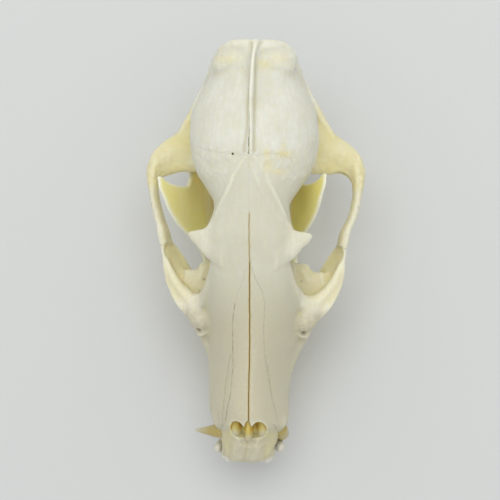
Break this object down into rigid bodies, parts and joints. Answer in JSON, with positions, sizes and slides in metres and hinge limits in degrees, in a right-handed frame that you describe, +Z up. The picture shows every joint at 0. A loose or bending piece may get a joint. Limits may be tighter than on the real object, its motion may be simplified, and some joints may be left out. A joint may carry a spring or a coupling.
{
  "type": "raccoon dog skull",
  "caption": "Life-size raccoon dog skull with its lower jaw closed, cleaned and resting on the jaw's lower edge, for display or study.",
  "frame": {"origin": "centre of the bounding box's lowest face, on the table under the middle of the skull", "axes": "+Z up from the table, +Y to the back of the skull (the snout points along -Y), +X to the animal's left"},
  "size_m": [0.0652, 0.1246, 0.065],
  "materials": {
    "cranium_bone": "matt dry bone",
    "jaw_bone": "matt dry bone"
  },
  "bodies": {
    "root": {"cranium": "cranium_bone", "jaw_left": "jaw_bone", "jaw_right": "jaw_bone"}
  },
  "joints": []
}
